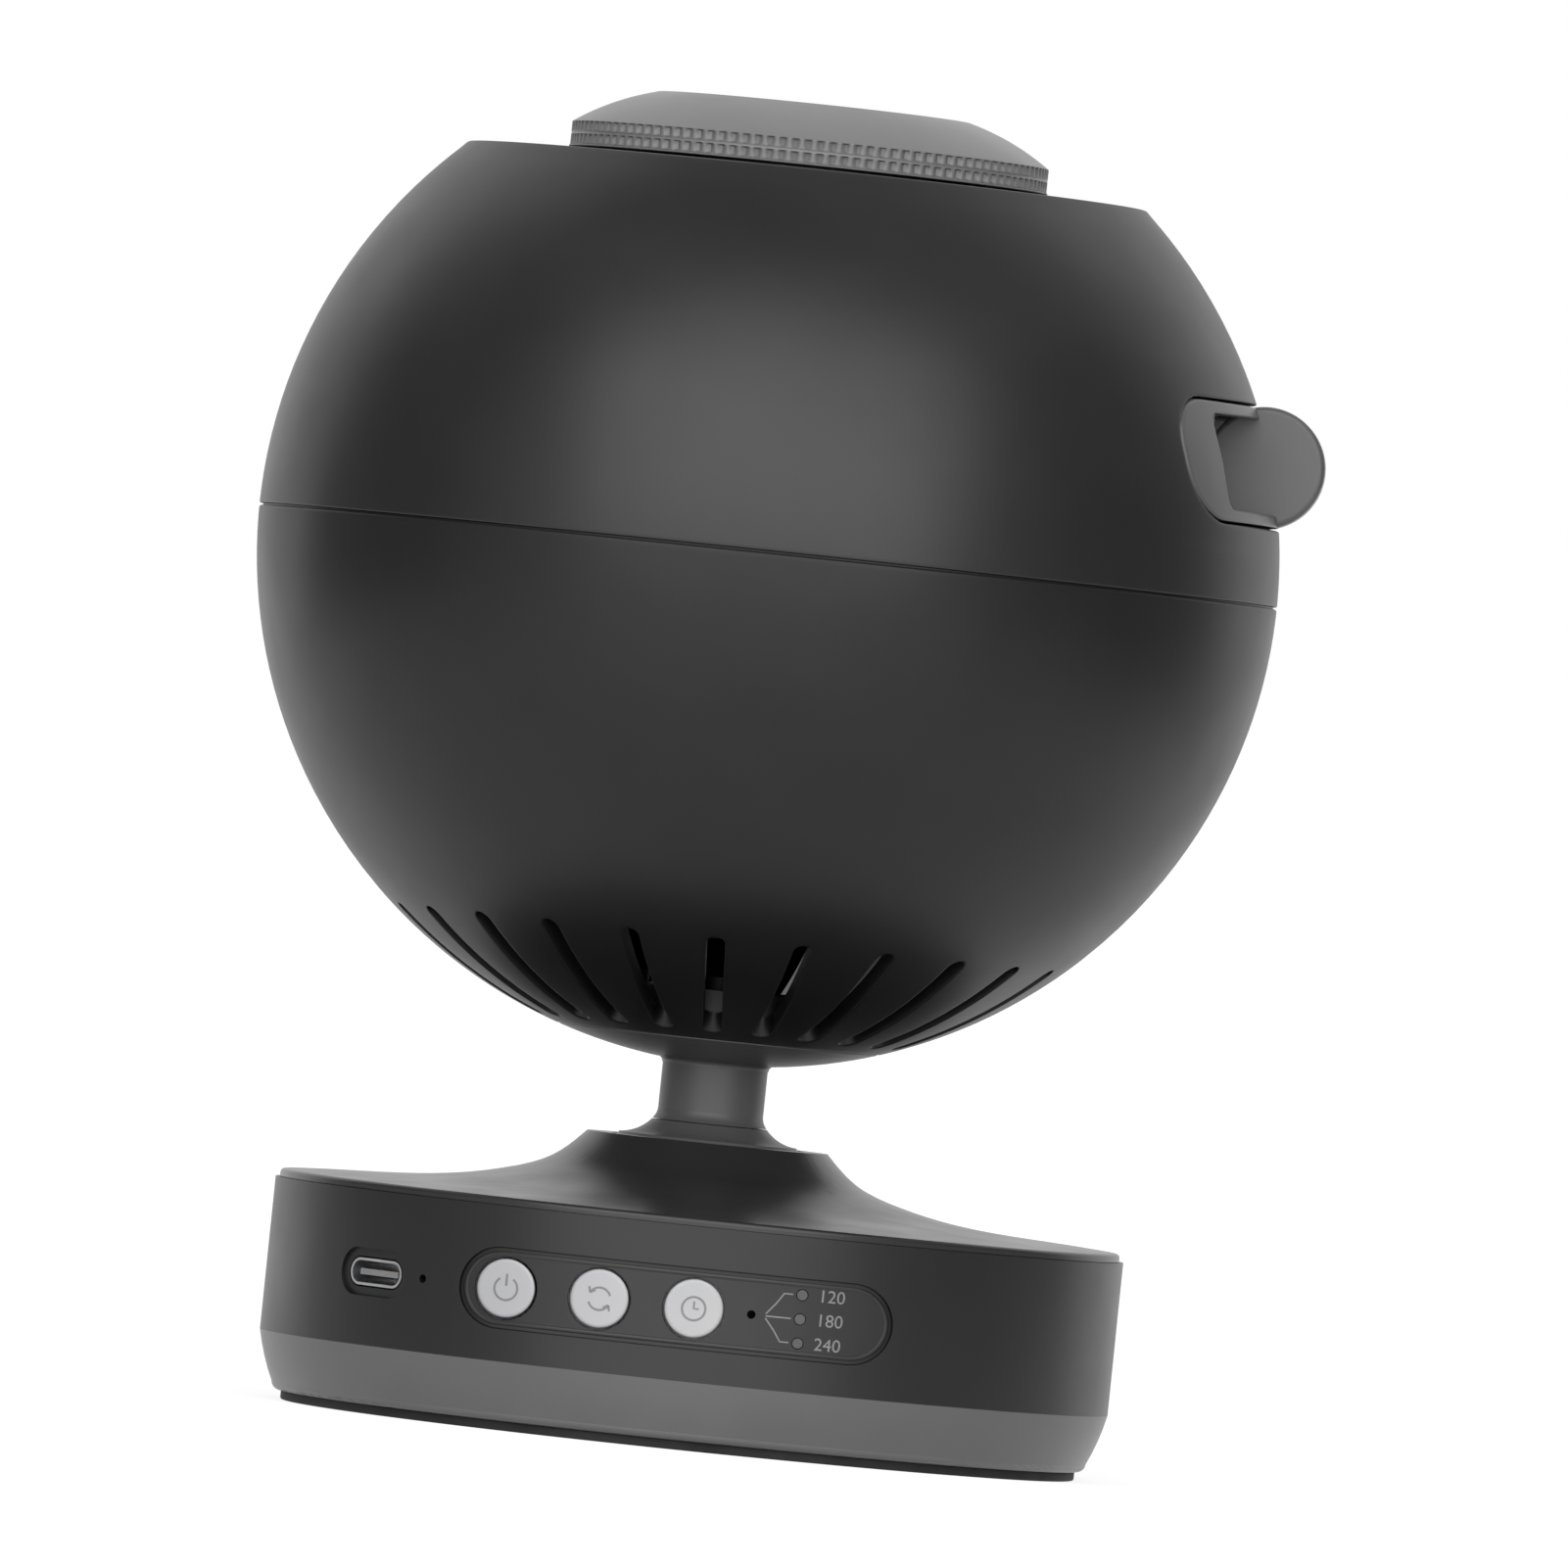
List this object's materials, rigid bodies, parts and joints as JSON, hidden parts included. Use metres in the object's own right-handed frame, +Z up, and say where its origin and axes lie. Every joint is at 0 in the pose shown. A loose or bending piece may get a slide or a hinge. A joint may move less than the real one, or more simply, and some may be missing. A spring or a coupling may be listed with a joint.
{
  "type": "planetarium projector",
  "caption": "Desk planetarium projector: a sphere with a focus ring and a pull-out film drawer, on a neck in the ball socket of a round base with push buttons.",
  "frame": {"origin": "centre of the rubber foot's underside, on the surface that the projector stands on", "axes": "+Z up through the neck and the lens, -Y towards the buttons, +X towards the film drawer"},
  "size_m": [0.124, 0.12, 0.1571],
  "materials": {
    "shell_black": "satin moulded ABS, black",
    "gloss_black": "polished moulded ABS, black",
    "neck_grey": "satin moulded ABS, dark grey",
    "mid_grey": "satin moulded ABS, mid grey",
    "ring_grey": "satin moulded ABS, dark grey, ribbed rim",
    "button_white": "satin moulded ABS, off-white",
    "foot_rubber": "soft non-slip sheet",
    "inner_black": "black moulded ABS, matt",
    "acetal": "natural acetal",
    "glass": "polished, clear",
    "film": "printed polyester film, dark",
    "clear_acrylic": "clear acrylic",
    "steel": "zinc-plated steel",
    "motor_steel": "plated motor can and gearbox, mostly hollow",
    "aluminium": "extruded and machined",
    "board": "glass-fibre laminate, green",
    "black_resin": "moulded nylon",
    "led": "phosphor-coated",
    "cell_wrap": "shrink-wrapped lithium cell"
  },
  "bodies": {
    "base": {"rubber_foot": "foot_rubber", "base_bottom": "mid_grey", "ballast_plate": "steel", "battery_pack": "cell_wrap", "main_board": "board", "button_board": "board", "tact_switches": "black_resin", "indicator_leds": "led", "light_pipe": "clear_acrylic", "base_housing": "shell_black", "control_panel": "shell_black", "usb_socket": "steel", "usb_tongue": "black_resin", "base_top_cover": "gloss_black", "base_screws": "steel", "socket_ring": "acetal", "disc_spring": "steel", "socket_retainer": "steel"},
    "socket_cup": {"friction_cup": "acetal"},
    "ball": {"neck_ball": "neck_grey"},
    "head": {"neck_tube": "neck_grey", "neck_nut": "steel", "bottom_cap": "neck_grey", "lower_shell": "shell_black", "upper_shell": "shell_black", "deck_plate": "inner_black", "lamp_tube": "inner_black", "condenser_rear": "glass", "condenser_front": "glass", "heat_sink": "aluminium", "led_board": "aluminium", "led_emitter": "led", "gear_motor": "motor_steel", "tray_rail_front": "inner_black", "tray_rail_back": "inner_black", "head_screws": "steel", "lens_barrel": "inner_black"},
    "drawer": {"tray_front": "mid_grey", "grip": "mid_grey", "tray_plate": "inner_black", "tray_screws": "steel"},
    "film": {"disc_carrier": "acetal", "film_disc": "film", "disc_clamp": "acetal"},
    "pinion": {"drive_pinion": "acetal", "motor_shaft": "steel"},
    "focus": {"focus_ring": "ring_grey", "focus_clip": "steel"},
    "lens": {"lens_cell": "inner_black", "front_lens": "glass", "rear_lens": "glass", "lens_retainer": "inner_black", "rear_retainer": "inner_black"},
    "button_power": {"button_power": "button_white"},
    "button_spin": {"button_spin": "button_white"},
    "button_timer": {"button_timer": "button_white"}
  },
  "joints": [
    {"name": "head_swivel", "type": "hinge", "parent": "base", "child": "socket_cup", "pos_m": [0, 0, 0.028], "axis": [0, 0, 1], "range_deg": [-150, 150]},
    {"name": "head_tilt", "type": "hinge", "parent": "socket_cup", "child": "ball", "pos_m": [0, 0, 0.028], "axis": [1, 0, 0], "range_deg": [-27, 27]},
    {"name": "head_turn", "type": "hinge", "parent": "ball", "child": "head", "pos_m": [0, 0, 0.028], "axis": [0, 0, 1], "range_deg": [-90, 90]},
    {"name": "focus_turn", "type": "hinge", "parent": "head", "child": "focus", "pos_m": [0, 0, 0.1532], "axis": [0, 0, 1], "range_deg": [-150, 150]},
    {"name": "lens_focus", "type": "slide", "parent": "head", "child": "lens", "axis": [0, 0, 1], "range_m": [-0.0025, 0.0025]},
    {"name": "drawer_slide", "type": "slide", "parent": "head", "child": "drawer", "axis": [1, 0, 0], "range_m": [0, 0.082]},
    {"name": "film_spin", "type": "hinge", "parent": "drawer", "child": "film", "pos_m": [0, 0, 0.1196], "axis": [0, 0, 1], "continuous": true},
    {"name": "pinion_spin", "type": "hinge", "parent": "head", "child": "pinion", "pos_m": [-0.0272, 0, 0.1196], "axis": [0, 0, 1], "continuous": true},
    {"name": "button_power_press", "type": "slide", "parent": "base", "child": "button_power", "axis": [0, 1, 0], "range_m": [0, 0.0008], "stiffness_N_per_m": 800},
    {"name": "button_spin_press", "type": "slide", "parent": "base", "child": "button_spin", "axis": [0, 1, 0], "range_m": [0, 0.0008], "stiffness_N_per_m": 800},
    {"name": "button_timer_press", "type": "slide", "parent": "base", "child": "button_timer", "axis": [0, 1, 0], "range_m": [0, 0.0008], "stiffness_N_per_m": 800}
  ],
  "couplings": [
    {"joint": "focus_turn", "follows": "lens_focus", "rad_per_m": 1047},
    {"joint": "pinion_spin", "follows": "film_spin", "ratio": -4.6667}
  ]
}
